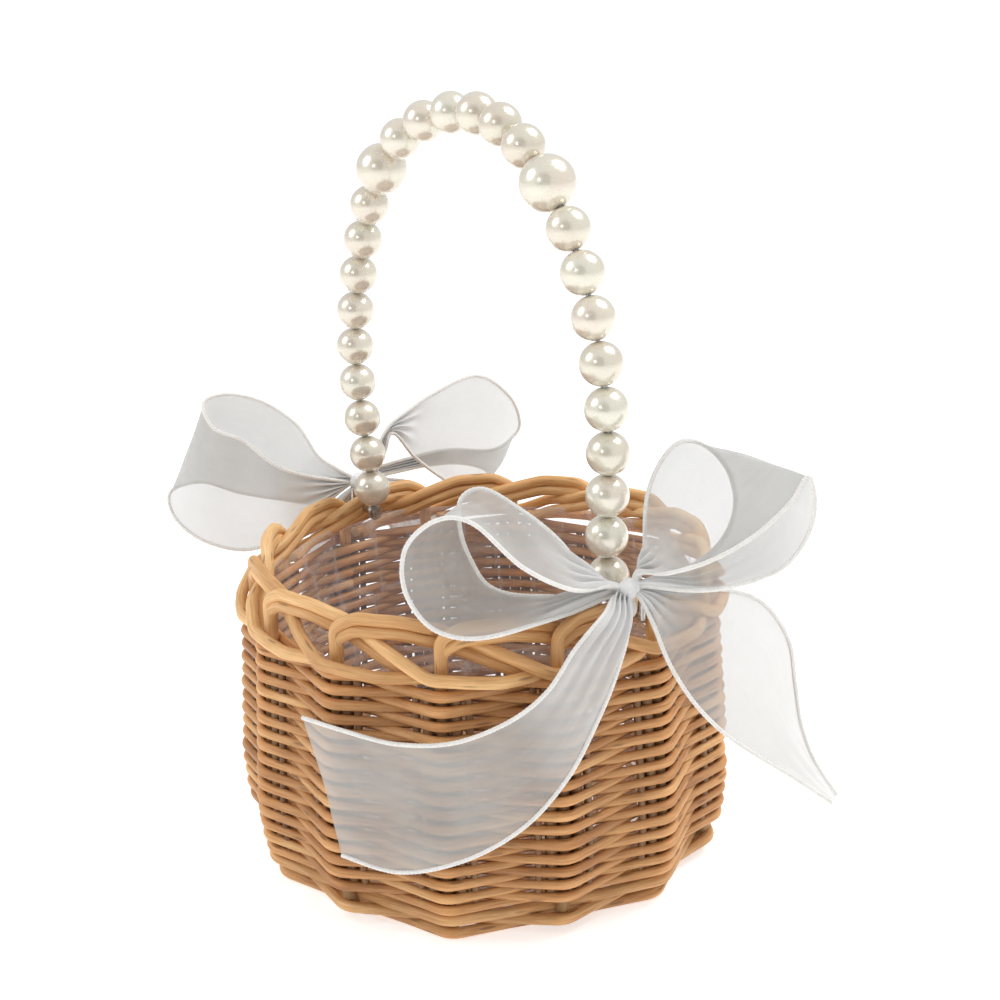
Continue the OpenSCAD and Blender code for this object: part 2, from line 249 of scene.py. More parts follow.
def pearl_material():
    """Ivory pearl: a warm body, faint pink and green bands, a clear glossy skin, and painted shade darkening
    the colour towards the rim as it turns from the camera.
    """
    m = Material("pearl_ivory")
    place = m.place()
    tone = m.attribute("tone", "Fac")
    band = m.noise(m.scaled(place, (60, 60, 90)), 1.0, 1, 0.5, 0.6)
    colour = m.ramp(band, [(0.35, (0.80, 0.73, 0.63)), (0.5, (0.82, 0.77, 0.66)),
                           (0.65, (0.80, 0.78, 0.67))])
    cast = m.ramp(tone, [(0.0, (0.96, 0.94, 0.90)), (1.0, (1.03, 1.03, 1.02))])
    colour = m.mix(1.0, colour, cast, "MULTIPLY")
    # Painted shade: the base colour darkens towards the pearl's rim by the viewing angle.
    painted_rim_shade = m.add("ShaderNodeLayerWeight", {"Blend": 0.45}).outputs["Facing"]
    colour = m.mix(m.math("MULTIPLY", painted_rim_shade, 0.60), colour, (0.46, 0.39, 0.29, 1))
    fine = m.noise(place, 900, 2, 0.5)
    rough = m.range(fine, 0.3, 0.7, 0.20, 0.28)
    m.shade(Base_Color=colour, Roughness=rough, Metallic=0.30, Specular_IOR_Level=0.6,
            Coat_Weight=1.0, Coat_Roughness=0.04, Coat_IOR=1.7,
            Sheen_Weight=0.15, Sheen_Roughness=0.4)
    m.bump(fine, 0.04, 0.0001)
    return m.data


def wire_material():
    """Drawn steel wire: fine lines round the wire and a few dull marks."""
    m = Material("wire_steel")
    place = m.place()
    lines = m.noise(m.scaled(place, (900, 900, 4000)), 1.0, 3, 0.6)
    marks = m.noise(place, 260, 4, 0.6)
    colour = m.ramp(marks, [(0.35, (0.42, 0.41, 0.39)), (0.6, (0.66, 0.66, 0.65))])
    rough = m.range(lines, 0.3, 0.7, 0.22, 0.40)
    m.shade(Base_Color=colour, Roughness=rough, Metallic=1.0)
    m.bump(lines, 0.15, 0.00005)
    return m.data


def film_material():
    """Clear film: almost invisible where it is smooth, milky along its creases."""
    m = Material("liner_film")
    place = m.place()
    crease = m.attribute("crease", "Fac")
    haze = m.noise(m.scaled(place, (26, 26, 60)), 1.0, 4, 0.6, 0.8)
    alpha = m.math("ADD", m.range(haze, 0.3, 0.7, 0.13, 0.24), m.math("MULTIPLY", crease, 0.30))
    colour = m.ramp(haze, [(0.35, (0.84, 0.82, 0.83)), (0.65, (0.92, 0.93, 0.95))])
    m.shade(Base_Color=colour, Roughness=0.16, Specular_IOR_Level=0.8, Alpha=alpha,
            Coat_Weight=0.5, Coat_Roughness=0.06)
    m.bump(m.noise(place, 420, 3, 0.6, 0.5), 0.10, 0.0002)
    return m.data


def organza_material(name, low_alpha, high_alpha, streak=0.5):
    """Sheer organza: crossed threads, long faint streaks and denser cloth where it is gathered."""
    m = Material(name)
    cloth = m.attribute("cloth")
    dense = m.attribute("dense", "Fac")
    warp = m.wave(cloth, 900, 0.4, "X")
    weft = m.wave(cloth, 900, 0.4, "Y")
    threads = m.math("MAXIMUM", warp, weft)
    long_streak = m.noise(m.scaled(cloth, (14, 420, 1)), 1.0, 3, 0.6)
    slow = m.noise(m.scaled(cloth, (30, 45, 1)), 1.0, 2, 0.5)
    body = m.math("ADD", m.math("MULTIPLY", long_streak, streak), m.math("MULTIPLY", slow, 0.5))
    alpha = m.range(body, 0.30, 0.72, low_alpha, high_alpha)
    alpha = m.math("MULTIPLY", alpha, m.range(threads, 0.0, 1.0, 0.86, 1.05))
    alpha = m.math("ADD", alpha, m.math("MULTIPLY", dense, 0.45))
    alpha = m.math("MINIMUM", alpha, 1.0)
    colour = m.ramp(slow, [(0.35, (0.50, 0.49, 0.47)), (0.65, (0.57, 0.57, 0.55))])
    colour = m.mix(dense, colour, (0.84, 0.84, 0.84, 1))
    m.shade(Base_Color=colour, Roughness=0.48, Specular_IOR_Level=0.35, Alpha=alpha,
            Sheen_Weight=0.35, Sheen_Roughness=0.35)
    m.bump(m.math("ADD", threads, m.math("MULTIPLY", long_streak, 0.8)), 0.2, 0.0001)
    return m.data


def cord_material():
    """Corded ribbon edge: white thread wound closely over a thin wire, with painted shade in the grooves
    between its turns.
    """
    m = Material("ribbon_edge_cord")
    rod = m.attribute("rod")
    wind = m.wave(m.scaled(rod, (1, 0.35, 0.35)), 420, 0.6, "X")
    fluff = m.noise(m.scaled(rod, (500, 900, 900)), 1.0, 3, 0.6)
    colour = m.ramp(fluff, [(0.3, (0.80, 0.78, 0.74)), (0.7, (0.93, 0.92, 0.90))])
    # Painted shade: the colour darkens in the grooves between the turns of thread.
    colour = m.mix(m.range(wind, 0.0, 0.5, 0.35, 0.0), colour, (0.70, 0.67, 0.62, 1))
    rough = m.range(fluff, 0.3, 0.7, 0.55, 0.75)
    m.shade(Base_Color=colour, Roughness=rough, Sheen_Weight=0.4, Sheen_Roughness=0.5)
    m.bump(m.math("ADD", wind, m.math("MULTIPLY", fluff, 0.5)), 0.5, 0.0002)
    return m.data


def floor_material():
    m = Material("studio_floor")
    speck = m.noise(m.place(), 3.0, 2, 0.5)
    colour = m.ramp(speck, [(0.3, (0.80, 0.80, 0.80)), (0.7, (0.82, 0.82, 0.82))])
    m.shade(Base_Color=colour, Roughness=0.9, Specular_IOR_Level=0.1,
            Emission_Color=(1, 1, 1, 1), Emission_Strength=0.55)
    return m.data


WEAVER = willow_material("willow_weaver", (0.38, 0.17, 0.06), (0.65, 0.345, 0.14), (0.82, 0.52, 0.26))
BORDER = willow_material("willow_border", (0.50, 0.27, 0.10), (0.74, 0.46, 0.21), (0.88, 0.64, 0.36))
WALE = willow_material("willow_wale", (0.40, 0.18, 0.06), (0.62, 0.34, 0.14), (0.80, 0.52, 0.27))
PEARL = pearl_material()
STEEL = wire_material()
FILM = film_material()
ORGANZA = organza_material("organza_sheer", 0.62, 0.76, 0.3)
ORGANZA_KNOT = organza_material("organza_gathered", 0.80, 0.98, 0.6)
CORD = cord_material()

# ---------------------------------------------------------------- meshes


def catmull(points, steps):
    """Smooth curve through the points, with a number of steps between neighbours."""
    p = np.array(points, float)
    ends = np.vstack([p[:1], p, p[-1:]])
    t = np.linspace(0, 1, steps, endpoint=False)[:, None]
    parts = []
    for i in range(len(p) - 1):
        a, b, c, d = ends[i:i + 4]
        parts.append(0.5 * (2 * b + (c - a) * t + (2 * a - 5 * b + 4 * c - d) * t ** 2
                            + (3 * b - a - 3 * c + d) * t ** 3))
    return np.vstack(parts + [p[-1:]])


def lengths(path):
    """Distance along a path at each of its points."""
    return np.concatenate([[0], np.cumsum(np.linalg.norm(np.diff(path, axis=0), axis=1))])


def spaced(path, step):
    """The path again, with its points the same distance apart."""
    run = lengths(path)
    places = np.linspace(0, run[-1], max(int(run[-1] / step), 2) + 1)
    return np.stack([np.interp(places, run, path[:, k]) for k in range(3)], axis=1)


def unit(v):
    return v / np.maximum(np.linalg.norm(v, axis=-1, keepdims=True), 1e-9)


def outward(path):
    """Level directions away from the basket's axis."""
    return unit(path * (1, 1, 0) + (1e-6, 0, 0))


class Shape:
    """Vertices, faces and named values of one mesh, in millimetres."""

    def __init__(self):
        self.verts, self.faces, self.values, self.count = [], [], {}, 0

    def add(self, verts, faces, **values):
        self.verts.append(verts)
        self.faces.extend((np.asarray(f) + self.count).tolist() for f in faces)
        for name, value in values.items():
            self.values.setdefault(name, []).append(value)
        self.count += len(verts)

    def tube(self, path, radius, sides, ref, tone=0.5, high=1.0, shade=1.0):
        """Closed round rod along a path, with its ends cut square."""
        rings = len(path)
        radius = np.broadcast_to(np.asarray(radius, float), rings)
        along = unit(np.gradient(path, axis=0))
        side = unit(np.cross(along, ref))
        out = np.cross(side, along)
        run = lengths(path) * MM + tone * 3.7
        lip = 0.12
        path = np.vstack([path[:1] - along[:1] * radius[0] * lip, path,
                          path[-1:] + along[-1:] * radius[-1] * lip])
        pick = np.r_[0, 0:rings, rings - 1]
        radius = radius[pick].copy()
        radius[0] *= 1 - lip
        radius[-1] *= 1 - lip
        side, out, run, along = side[pick], out[pick], run[pick], along[pick]
        shade = np.broadcast_to(np.asarray(shade, float), rings)[pick]
        rings += 2
        a = np.arange(sides) * TURN / sides
        ring = (np.cos(a)[None, :, None] * out[:, None]
                + np.sin(a)[None, :, None] * side[:, None] * high) * radius[:, None, None]
        verts = (path[:, None] + ring).reshape(-1, 3)
        verts = np.vstack([verts, path[:1], path[-1:]])
        flat = radius[:, None] * MM
        rod = np.stack([np.broadcast_to(run[:, None], (rings, sides)),
                        flat * np.cos(a), flat * np.sin(a)], axis=-1).reshape(-1, 3)
        rod = np.vstack([rod, [[run[0], 0, 0], [run[-1], 0, 0]]])
        i, k = np.meshgrid(np.arange(rings - 1), np.arange(sides), indexing="ij")
        i, k = i.ravel(), k.ravel()
        next_k = (k + 1) % sides
        quads = np.stack([i * sides + k, i * sides + next_k,
                          (i + 1) * sides + next_k, (i + 1) * sides + k], axis=1)
        k = np.arange(sides)
        first, last = rings * sides, rings * sides + 1
        start = np.stack([np.full(sides, first), (k + 1) % sides, k], axis=1)
        tail = (rings - 1) * sides
        end = np.stack([np.full(sides, last), tail + k, tail + (k + 1) % sides], axis=1)
        cut = np.zeros(len(verts))
        cut[:sides] = cut[tail:] = 1
        # Painted shade for each ring, stored as the shade attribute that the willow material multiplies into
        # its colour
        shade = np.r_[np.repeat(shade, sides), shade[0], shade[-1]]
        self.add(verts, list(quads) + list(start) + list(end),
                 rod=rod, tone=np.full(len(verts), tone), cut=cut, shade=shade)

    def grid(self, points, wrap=False, **values):
        """Surface through an array of points [along, across]; wrap joins its last row to its first."""
        rows, columns = points.shape[:2]
        i, k = np.meshgrid(np.arange(rows if wrap else rows - 1), np.arange(columns - 1), indexing="ij")
        i, k = i.ravel(), k.ravel()
        j = (i + 1) % rows
        here, there = i * columns + k, j * columns + k
        quads = np.stack([here, here + 1, there + 1, there], axis=1)
        self.add(points.reshape(-1, 3), list(quads), **values)

    def build(self, name, body, material, replaces=()):
        mesh = bpy.data.meshes.new(name)
        mesh.from_pydata((np.vstack(self.verts) * MM).tolist(), [], self.faces)
        for key, parts in self.values.items():
            data = np.vstack(parts) if parts[0].ndim == 2 else np.concatenate(parts)
            kind = "FLOAT_VECTOR" if data.ndim == 2 else "FLOAT"
            field = "vector" if data.ndim == 2 else "value"
            layer = mesh.attributes.new(key, kind, "POINT")
            layer.data.foreach_set(field, np.ascontiguousarray(data, np.float32).ravel())
        mesh.polygons.foreach_set("use_smooth", [True] * len(mesh.polygons))
        mesh.materials.append(material)
        mesh.update()
        piece = bpy.data.objects.new(name, mesh)
        bpy.context.scene.collection.objects.link(piece)
        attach(piece, body)
        if replaces:
            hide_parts(*replaces)
        return piece


# ---------------------------------------------------------------- woven body

RING_R = 102.0
# Height and distance from the axis of the stakes, up the wall
WALL = ((0, 99.6), (14, 104), (27, 106.2), (40, 107), (113, 102), (140, 102))
STAKES = 14
PITCH = TURN / STAKES
PHASE = math.radians(4.3)
STAKE_R = 2.6
WEAVE_LOW = 14.6
WEAVE_TOP = 112.4
ROW_PITCH = 3.12
WEAVER_R = 1.88
CORNER = 4.6
# How much further out a rod stands in front of a stake than it stands in behind one
FRONT_PLAY = 0.9
# Painted shade: how dark a rod is painted where it crosses the ring of stakes, in the hollow of the weave
HOLLOW_SHADE = 0.42
# Rods on both sides of each stake, hidden in the weave and painted dark as painted shade behind its gaps:
# angle from the stake and radius
BYE_STAKES = ((-0.102, 1.6), (-0.052, 2.5), (0.052, 2.5), (0.102, 1.6))
BYE_STAKE_SHADE = 0.32


def polar(radius, angle, z):
    return np.array([radius * math.cos(angle), radius * math.sin(angle), z])


def wall_r(z):
    """Distance of the stakes from the axis at a height: fullest below the middle, drawn in at the foot."""
    heights, radii = zip(*WALL)
    return float(np.interp(z, heights, radii))


def bent_line(corners, bend=CORNER):
    """Straight runs between the corners, each corner rounded off over the length bend."""
    points = [corners[0]]
    for a, p, b in zip(corners, corners[1:], corners[2:]):
        start = p + unit(a - p) * bend
        end = p + unit(b - p) * bend
        points.append((points[-1] + start) / 2)
        for t in (0, 0.25, 0.5, 0.75, 1):
            points.append((1 - t) ** 2 * start + 2 * t * (1 - t) * p + t ** 2 * end)
    points.append((points[-1] + corners[-1]) / 2)
    points.append(corners[-1])
    return np.array(points)


def weaver(rng, parity, first, last, z, ring_r, rod_r, stake_r, wander, lift=0.0):
    """One rod woven in front of and behind the stakes first..last, front where (stake + parity) is even."""
    corners = []
    for j in range(first, last + 1):
        front = (j + parity) % 2 == 0
        reach = stake_r + rod_r + (FRONT_PLAY if front else 0.0)
        radius = ring_r + reach * (1 if front else -1)
        height = z + rng.uniform(-wander, wander) + (lift if front else -lift)
        corners.append(polar(radius, PHASE + j * PITCH, height))
    shift = 0.25
    corners[0] = corners[0] + unit(corners[1] - corners[0]) * shift
    corners[-1] = corners[-1] + unit(corners[-2] - corners[-1]) * shift
    return bent_line(corners)


def weave_row(shape, rng, row, z, ring_r, rod_r, stake_r, sides, wander=0.22, lift=0.0):
    """Two tapering rods that go once round, their ends resting behind a stake."""
    behind = 1 - row % 2
    start = 2 * rng.randrange(STAKES // 2) + behind
    middle = start + 2 * rng.randrange(2, 5)
    for first, last in ((start, middle), (middle, start + STAKES)):
        path = weaver(rng, row, first, last, z, ring_r, rod_r, stake_r, wander, lift)
        thick = rng.uniform(0.94, 1.06)
        taper = np.linspace(1.04, 0.93, len(path)) * thick * rod_r
        if rng.random() < 0.5:
            taper = taper[::-1]
        angle = np.arctan2(path[:, 1], path[:, 0])
        taper = taper * (1 + 0.07 * np.cos((angle - PHASE) * STAKES))
        # Painted shade: darkest where the rod passes between front and back of the stakes, full colour at its
        # front and back
        depth = (np.hypot(path[:, 0], path[:, 1]) - ring_r) / (stake_r + rod_r)
        shade = HOLLOW_SHADE + (1 - HOLLOW_SHADE) * np.clip(np.abs(depth), 0, 1) ** 0.8
        shape.tube(path, taper, sides, outward(path), rng.random(), high=1.08, shade=shade)


def side_weave():
    rng = random.Random(11)
    shape = Shape()
    rows = int((WEAVE_TOP - WEAVE_LOW) / ROW_PITCH) + 1
    for row in range(rows):
        z = WEAVE_LOW + WEAVER_R + row * ROW_PITCH * 0.995
        weave_row(shape, rng, row, z, wall_r(z), WEAVER_R * rng.uniform(0.95, 1.05), STAKE_R, 10)
    heights = np.linspace(WEAVE_LOW + 5, WEAVE_TOP - 2, 30)
    for j in range(STAKES):
        for turn, rod_r in BYE_STAKES:
            path = np.array([polar(wall_r(z), PHASE + j * PITCH + turn, z) for z in heights])
            # Painted shade: these rods are painted dark so the gaps between the rows look shadowed
            shape.tube(path, rod_r, 10, outward(path), rng.random(), shade=BYE_STAKE_SHADE)
    return shape.build("woven_side", "basket", WEAVER, ["side_weave"])


def foot_wale():
    """Thick rods at the foot, leaning inwards, each lifted where it passes in front of a stake."""
    rng = random.Random(23)
    shape = Shape()
    for row, (z, ring_r, rod_r) in enumerate([(2.7, 99.3, 2.2), (6.4, 101.2, 2.3), (10.6, 103.1, 2.3)]):
        lift = 0.3 if row == 0 else 0.9
        weave_row(shape, rng, row, z, ring_r, rod_r, 2.2, 12, 0.15, lift)
    return shape.build("foot_rods", "basket", WALE, ["foot_wale"])


def base():
    """Crossed base sticks and the fine rods woven round them."""
    rng = random.Random(31)
    middle = 8.5
    stick_r, rod_r = 2.15, 1.2
    shape = Shape()
    sticks = [(k, False) for k in (-1.5, -0.5, 0.5, 1.5)] + [(k, True) for k in (-1, 0, 1)]
    for k, crossing in sticks:
        lay = (stick_r + 0.1) * (1 if crossing else -1)
        a = k * PITCH
        off = k * 5.1
        points = [(r * math.cos(a), r * math.sin(a), middle) for r in (96.5, 60, 19)]
        points += [(12.5, off, middle + lay * 0.7), (8.5, off, middle + lay)]
        points += [(-x, y, z) for x, y, z in reversed(points)]
        if crossing:
            points = [(-y, x, z) for x, y, z in points]
        path = catmull(points, 5)
        shape.tube(path, stick_r, 12, np.broadcast_to((0.0, 0, 1), path.shape), rng.random())
    sticks_piece = shape.build("base_crossing_sticks", "basket", BORDER, ["base_sticks"])

    shape = Shape()
    first_r, last_r, step = 20.7, 93.8, 2.7
    rings = int((last_r - first_r) / step) + 1
    for ring in range(rings):
        radius = first_r + ring * step
        a = np.linspace(0, TURN, STAKES * 12 + 1)
        a = a + PITCH * 2 * rng.randrange(STAKES // 2)
        wave = np.cos((a - PITCH / 2) * STAKES / 2)
        wave = np.sign(wave) * np.abs(wave) ** 0.75 * (1 if ring % 2 else -1)
        path = np.stack([radius * np.cos(a), radius * np.sin(a),
                         middle + wave * (stick_r + rod_r)], axis=1)
        path = path[:-1]
        shape.tube(path, rod_r * rng.uniform(0.93, 1.07), 8, outward(path), rng.random())
    weave_piece = shape.build("woven_base", "basket", WEAVER, ["base_weave"])
    return sticks_piece, weave_piece


# A stake's way up the wall and over, under and behind its neighbours:
# stake intervals travelled, distance from the ring of stakes, height
BORDER_WAY = [(0, -2.4, 3), (0, 2, 14), (0, 4.2, 27), (0, 5, 40), (0, 2.5, 76.5), (0, 0, 113),
              (0, -0.2, 131), (0.2, -1.6, 136), (0.62, -4.2, 136), (0.98, -7, 132.4), (1.25, -5.6, 128.6),
              (1.6, 2, 124.2), (1.92, 6, 117), (2.5, 5.8, 116), (2.86, 0.4, 115.8)]
BORDER_BEND = 3.2
BORDER_STEP = 1.6
BORDER_PLAY = 0.25
# A second rod of each stake, which lies under the first one and ends inside the wall
UNDER_WAY = [(0, -0.5, 112), (0, -0.7, 126), (0.18, -1.8, 131), (0.62, -4.4, 131), (0.98, -7, 127.4),
             (1.25, -5.8, 123.6), (1.55, -1.5, 119.5), (1.8, 0, 114)]


def border():
    rng = random.Random(5)
    shape = Shape()
    for i in range(STAKES):
        # The points before the loose ones stay true, so that the rods stand straight in the weave
        for corners, loose in ((BORDER_WAY, 6), (UNDER_WAY, 1)):
            way = np.array(corners, float)
            for axis in (1, 2):
                way[loose:, axis] += [rng.uniform(-BORDER_PLAY, BORDER_PLAY) for _ in way[loose:]]
            way[-1, 0] += rng.uniform(-0.03, 0.02)
            way = bent_line(list(way * (PITCH * RING_R, 1, 1)), BORDER_BEND)
            angle = PHASE + i * PITCH + way[:, 0] / RING_R
            radius = RING_R + way[:, 1]
            path = np.stack([radius * np.cos(angle), radius * np.sin(angle), way[:, 2]], axis=1)
            path = spaced(path, BORDER_STEP)
            thick = STAKE_R * np.linspace(1.0, 0.98, len(path)) * rng.uniform(1.0, 1.06)
            # Painted shade: the border rods darken below the top of the weave, where they go down into it
            shade = np.interp(path[:, 2], (108, 114), (0.40, 1.0))
            shape.tube(path, thick, 14, outward(path), rng.random(), shade=shade)
    return shape.build("border_rods", "basket", BORDER, ["border_stakes"])


side_weave()
foot_wale()
base()
border()

# ---------------------------------------------------------------- liner

LINER_R = 94.9
LINER_LOW = 13.5
LINER_TOP = 124.0


def crinkle(x, y, z, size):
    """How far a crushed film stands off its smooth form, 0 to 1, with sharp creases between flat facets."""
    distances, _ = noise.voronoi(Vector((x, y, z)) / size)
    return min((distances[1] - distances[0]) * 1.6, 1.0)


def liner():
    around, up, inward = 300, 46, 26
    rows = []
    creases = []
    for i in range(around):
        a = TURN * i / around
        row, marks = [], []
        for j in range(inward + up + 1):
            if j < inward:
                radius, z = LINER_R * (0.02 + 0.97 * j / inward), LINER_LOW
                f = crinkle(radius * math.cos(a), radius * math.sin(a), 0, 26)
                row.append(polar(radius, a, z + 0.7 * (1 - f)))
            else:
                v = (j - inward) / up
                z = LINER_LOW + 0.6 + (LINER_TOP - LINER_LOW - 0.6) * v
                f = crinkle(LINER_R * math.cos(a), LINER_R * math.sin(a), z * 0.55, 24)
                g = crinkle(LINER_R * math.cos(a) + 300, LINER_R * math.sin(a), z * 0.8, 11)
                depth = 0.9 * f + 0.35 * g
                top = 0.7 * math.sin(5 * a) * v ** 8 + 0.5 * math.sin(13 * a + 1) * v ** 8
                row.append(polar(LINER_R - depth, a, z + top))
            marks.append(max(0.0, 1 - f * 6) * 0.7 + (1.0 if j == inward + up else 0.0))
        rows.append(row)
        creases.append(marks)
    shape = Shape()
    shape.grid(np.array(rows), wrap=True, crease=np.array(creases).ravel())
    hub = np.vstack([[[0, 0, LINER_LOW + 0.35]], np.array(rows)[:, 0]])
    fan = [(0, 1 + i, 1 + (i + 1) % around) for i in range(around)]
    shape.add(hub, fan, crease=np.zeros(len(hub)))
    piece = shape.build("film_liner", "basket", FILM, ["liner"])
    merge = piece.modifiers.new("join", "WELD")
    merge.merge_threshold = 1e-6
    return piece


liner()

# ---------------------------------------------------------------- pearls, wire and staples

PEARLS = 26
BIG_PEARLS = (10, 17)
PEARL_R = 8.8
BIG_PEARL_R = 11.3
BORE_R = 1.0
TOUCH_GAP = 0.12
ARCH = [(85, 0, 130), (84.5, -1.5, 147), (85.5, -2.5, 166), (87.5, -3.5, 185), (88.5, -4, 204),
        (86.5, -4.5, 225), (80, -4.5, 252), (70, -5, 277), (57, -5.5, 298), (40.5, -5, 312),
        (21, -3, 320.5), (0, -1, 323)]


def pearl_radius(number):
    return BIG_PEARL_R if number in BIG_PEARLS else PEARL_R


def pearl_places():
    """Both ends of each pearl's bore, walking down the arch from its crown."""
    line = catmull(ARCH[::-1], 6)
    run = lengths(line)
    touch, travelled = [], 0.0
    for number in range(PEARLS // 2 + 1, PEARLS + 2):
        touch.append([np.interp(travelled, run, line[:, k]) for k in range(3)])
        if number <= PEARLS:
            travelled += 2 * pearl_radius(number) + TOUCH_GAP
    right = np.array(touch)
    return np.vstack([right[:0:-1] * (-1, 1, 1), right])


def pearl(number, a, b, rng):
    """Drilled round bead, turned about its bore, with the lip of the bore eased."""
    radius = pearl_radius(number)
    axis = unit(b - a)
    side = unit(np.cross(axis, (0.0, 0.0, 1.0) if abs(axis[2]) < 0.9 else (1.0, 0.0, 0.0)))
    other = np.cross(side, axis)
    hole = math.asin((BORE_R + 0.25) / radius)
    angles = np.linspace(hole, math.pi - hole, 31)
    profile = [(radius * math.sin(t), -radius * math.cos(t)) for t in angles]
    lip = radius * math.cos(hole)
    inner = [(BORE_R, lip - 0.25), (BORE_R, 0), (BORE_R, -lip + 0.25)]
    profile += inner
    profile.append(profile[0])
    turns = 48
    points = []
    for i in range(turns):
        t = TURN * i / turns
        spoke = side * math.cos(t) + other * math.sin(t)
        points.append([(a + b) / 2 + spoke * r + axis * h for r, h in profile[:-1]])
    points = np.array(points)
    columns = points.shape[1]
    shape = Shape()
    faces = []
    for i in range(turns):
        j = (i + 1) % turns
        for k in range(columns):
            n = (k + 1) % columns
            faces.append((i * columns + k, j * columns + k, j * columns + n, i * columns + n))
    shape.add(points.reshape(-1, 3), faces, tone=np.full(turns * columns, rng.random()))
    name = f"pearl_{number:02d}"
    return shape.build(f"{name}_bead", "handle", PEARL, [name])


places = pearl_places()
pearl_rng = random.Random(41)
for pearl_number in range(1, PEARLS + 1):
    pearl(pearl_number, places[pearl_number - 1], places[pearl_number], pearl_rng)

for steel_node in ("handle_wire", "right_eye", "left_eye", "right_staple", "left_staple"):
    mesh_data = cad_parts[steel_node].data
    mesh_data.materials.clear()
    mesh_data.materials.append(STEEL)

# ---------------------------------------------------------------- bows

RIBBON_W = 40.0
CORD_R = 0.9
CORD_STEP = 0.55
PLEATS = 4.0
# The narrower a ribbon is than these widths, the more it is pleated and the denser its cloth
PLEATED_W = 26
DENSE_W = 34
KNOT = np.array([102.5, -6.0, 144.0])
KNOT_HALF_LENGTH = 4.6
LEFT_KNOT = np.array([-106.5, 6.5, 140.5])
TIE = np.array([98.3, -6.0, 135.2])
TIE_R = 5.25
TIE_HALF_WIDTH = 3.4

INNER_LOOP = (
    [(96, -14.5, 147.5), (88, -29.5, 166.5), (76.5, -40.5, 179), (66.5, -49, 186), (60.5, -55.5, 182),
     (60, -56, 169.5), (62.5, -53.5, 157.5), (68.5, -49, 146.5), (78.5, -38, 142.5),
     (92.5, -16.5, 143)],
    [(100, -14.5, 147.5), (105.5, -39, 153.5), (101, -58.5, 165.5), (90, -72.5, 183),
     (81.5, -83, 184.5), (73.5, -91.5, 173.5), (75, -93, 156.5), (83.5, -85, 142), (96, -66.5, 139.5),
     (98, -15.5, 142.5)],
)
OUTER_LOOP = (
    [(101, 1, 150), (100, 4, 164), (101, 5, 180), (104, 9, 193), (109, 15, 201),
     (116, 22, 199), (122, 28, 189), (124, 30, 175), (121, 26, 161), (114, 16, 151), (106, 3, 147)],
    [(105, -3, 151), (121, -4, 155), (134, 6, 161), (145, 18, 171), (152, 29, 183),
     (156, 34, 193), (159, 35, 182), (157, 32, 168), (150, 24, 156), (134, 7, 149), (108, -2, 146)],
)
INNER_TAIL = (
    [(101, -13, 143), (112, -28, 141), (110, -41.5, 130), (105.5, -51.5, 115), (98, -65, 104),
     (85, -81.5, 96), (68, -96, 94), (48.5, -107, 96), (29, -114, 97)],
    [(106, -9, 142), (115, -17, 134), (115.5, -25, 117), (113, -33.5, 98.5), (109, -45.5, 77.5),
     (101, -61, 59), (87, -79.5, 45.5), (67, -97, 38), (44.5, -109.5, 40.5)],
)
OUTER_TAIL = (
    [(106, -1, 143), (114, 11, 141), (125, 24, 142), (134, 36, 136), (140, 45, 120), (142, 48, 100),
     (144, 50, 82), (148, 54, 66), (154, 62, 50)],
    [(109, -6, 141), (119, -9, 134), (127, -8, 120), (134, -2, 105), (141, 7, 92), (149, 17, 82),
     (157, 26, 74), (164, 33, 67), (169.25, 39.5, 61)],
)
LEFT_FAN = (
    [(-107, 12.5, 146), (-102.5, 16.5, 159), (-102, 26.5, 169), (-103, 52.5, 178.5),
     (-105, 81.5, 182.5), (-107, 104, 168), (-109, 113, 152), (-111, 110, 143), (-112, 95.5, 138),
     (-112, 62, 144), (-109, 13.5, 144)],
    [(-105, 13.5, 141), (-101, 18.5, 154.5), (-100, 23, 163), (-100, 36, 148), (-100.5, 51.5, 134.5),
     (-101.5, 67, 124), (-104, 84.5, 122), (-108, 89, 128), (-109.5, 75, 135), (-110, 52, 138.5),
     (-108, 14, 140)],
)
LEFT_OUTER_LOOP = (
    [(-111, 3.5, 143), (-116, -2, 147), (-123.5, -7.5, 153), (-132, -13.5, 168.5), (-143, -26, 180.5),
     (-151, -41.5, 185.5), (-151, -54, 183), (-144, -53, 171.5), (-135, -42, 164.5),
     (-123, -27.5, 149.5), (-112, 0.5, 140)],
    [(-112.5, 3, 138.5), (-122.5, -8.5, 128.5), (-140, -21.5, 129), (-154, -36.5, 132.5),
     (-165, -52, 139), (-169, -67.5, 136), (-161, -70, 124.5), (-148.5, -61.5, 113.5),
     (-135.5, -44, 108), (-123.5, -26.5, 116.5), (-113, -1, 135.5)],
)
LEFT_OUTER_TAIL = (
    [(-111.5, 6.5, 134), (-117, 8, 124), (-118, 6, 111), (-118, 6, 95), (-118, 5, 76), (-120, 4, 60)],
    [(-112.5, 2.5, 134.5), (-116.5, -7, 126), (-116, -20, 112), (-115.5, -25, 95), (-115.5, -27, 76),
     (-118, -29, 52)],
)
HALF_TURN = np.array([-1.0, -1.0, 1.0])


def turned(edges):
    return tuple([tuple(np.array(p) * HALF_TURN) for p in edge] for edge in edges)


# The left inner tail is the right one turned half round, with its own first two points at the lower knot
LEFT_TAIL_STARTS = (
    [(-110.5, 13, 136.5), (-114, 28, 134)],
    [(-111.5, 10.5, 134), (-116.5, 19, 127)],
)
LEFT_INNER_TAIL = tuple(
    start + edge[2:] for start, edge in zip(LEFT_TAIL_STARTS, turned(INNER_TAIL)))


def into_knot(edge, knot, both):
    """The edge, carried on to the middle of the knot at its first point, and at its last point for a loop."""
    edge = [np.array(p, float) for p in edge]
    start = [knot + (edge[0] - knot) * 0.3]
    end = [knot + (edge[-1] - knot) * 0.3] if both else []
    return np.array(start + edge + end)


